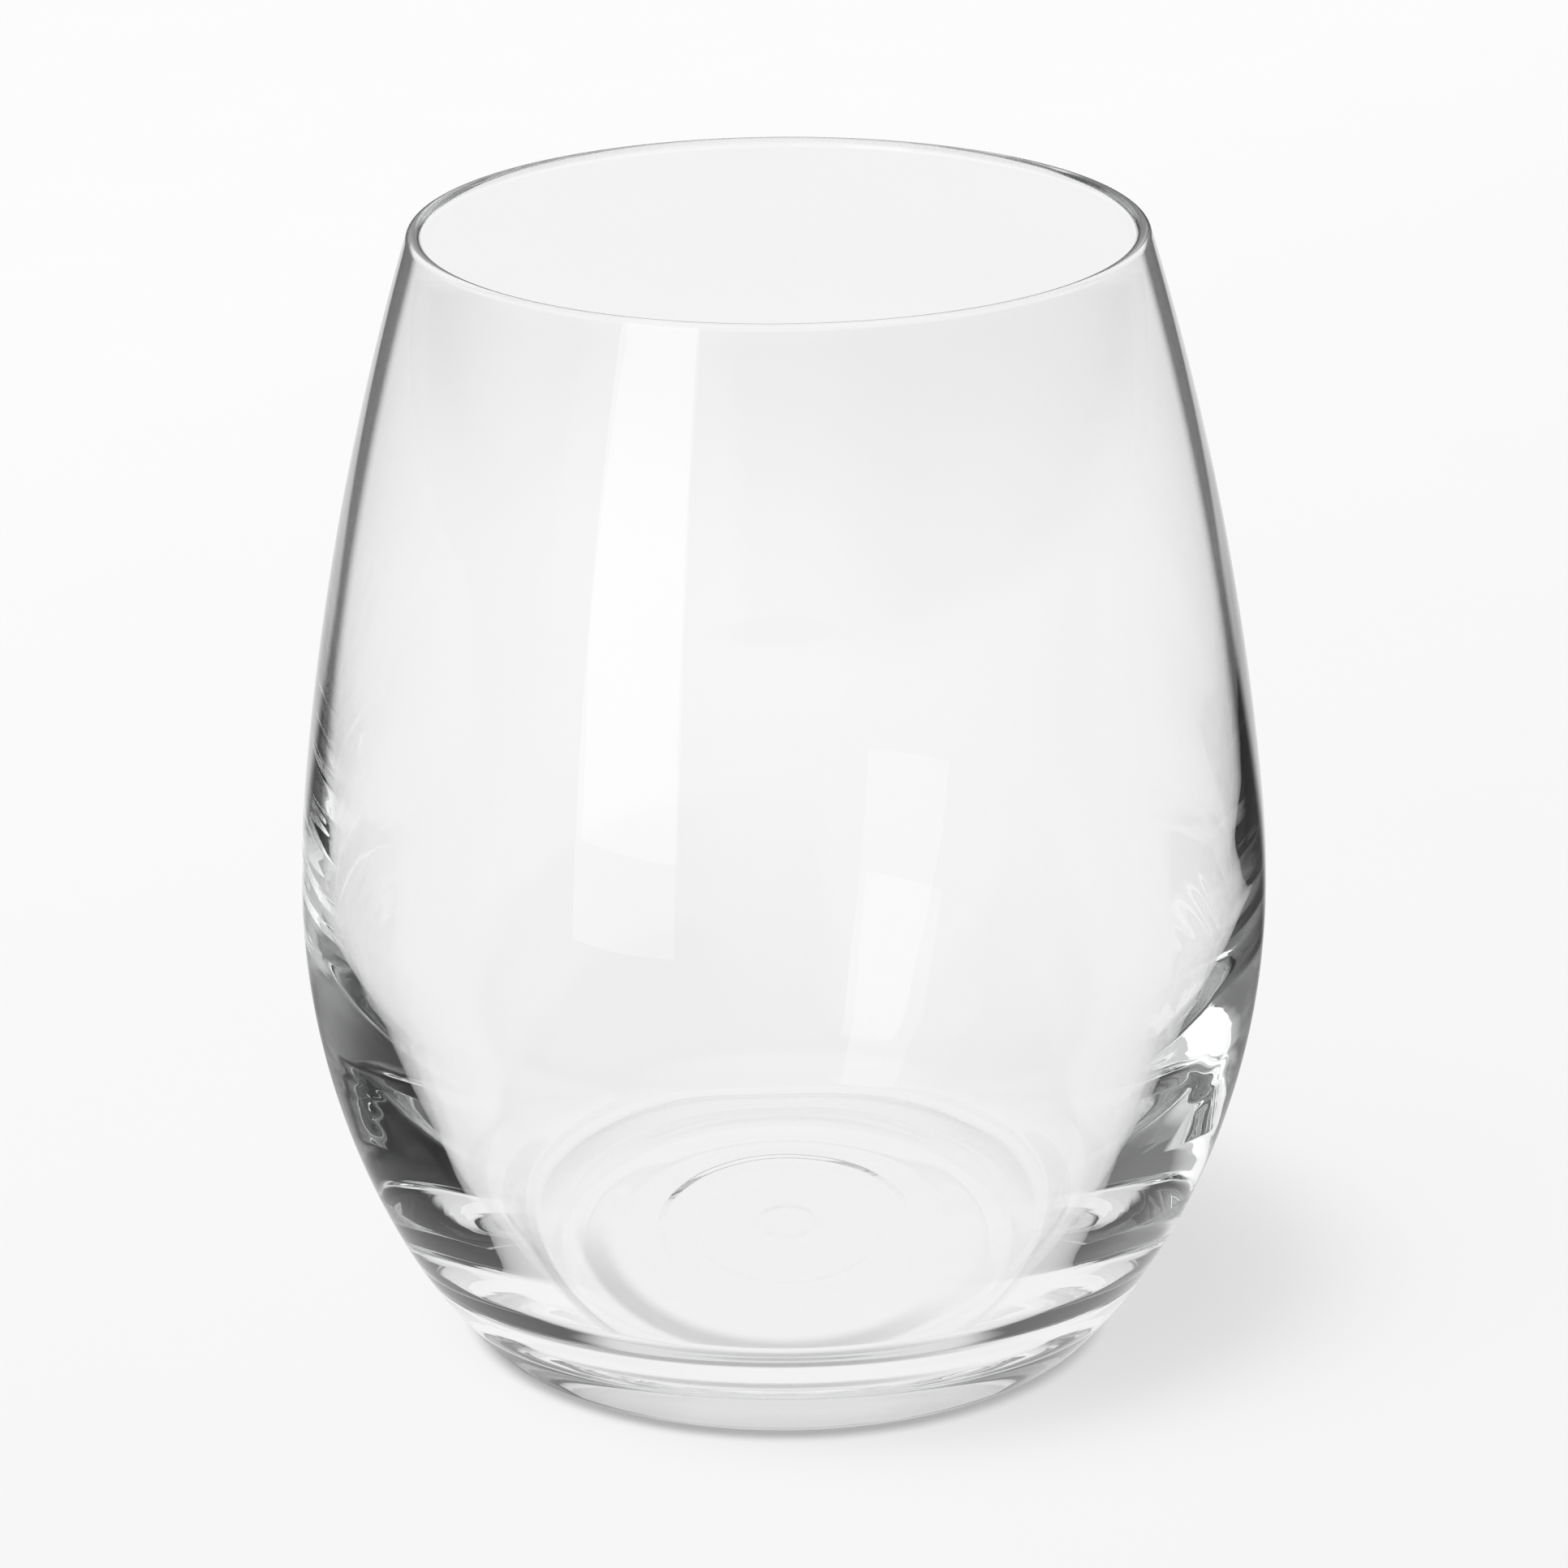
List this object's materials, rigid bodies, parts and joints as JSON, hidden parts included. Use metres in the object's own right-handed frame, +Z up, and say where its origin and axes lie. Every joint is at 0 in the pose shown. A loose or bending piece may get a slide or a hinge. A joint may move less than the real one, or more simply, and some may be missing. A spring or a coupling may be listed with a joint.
{
  "type": "stemless wine glass",
  "caption": "Clear egg-shaped stemless wine glass with a thin rounded lip, a heavy lower wall and a foot ring round a shallow push-up; holds a drink.",
  "frame": {"origin": "on the axis of the glass, at the plane that the foot ring stands on", "axes": "+Z up along the axis of the glass, towards the lip; +X and +Y are free, because the glass is round"},
  "size_m": [0.092, 0.092, 0.1086],
  "materials": {
    "clear_glass": "clear, fire polished, high gloss"
  },
  "bodies": {
    "root": {"glass_body": "clear_glass"}
  },
  "joints": []
}
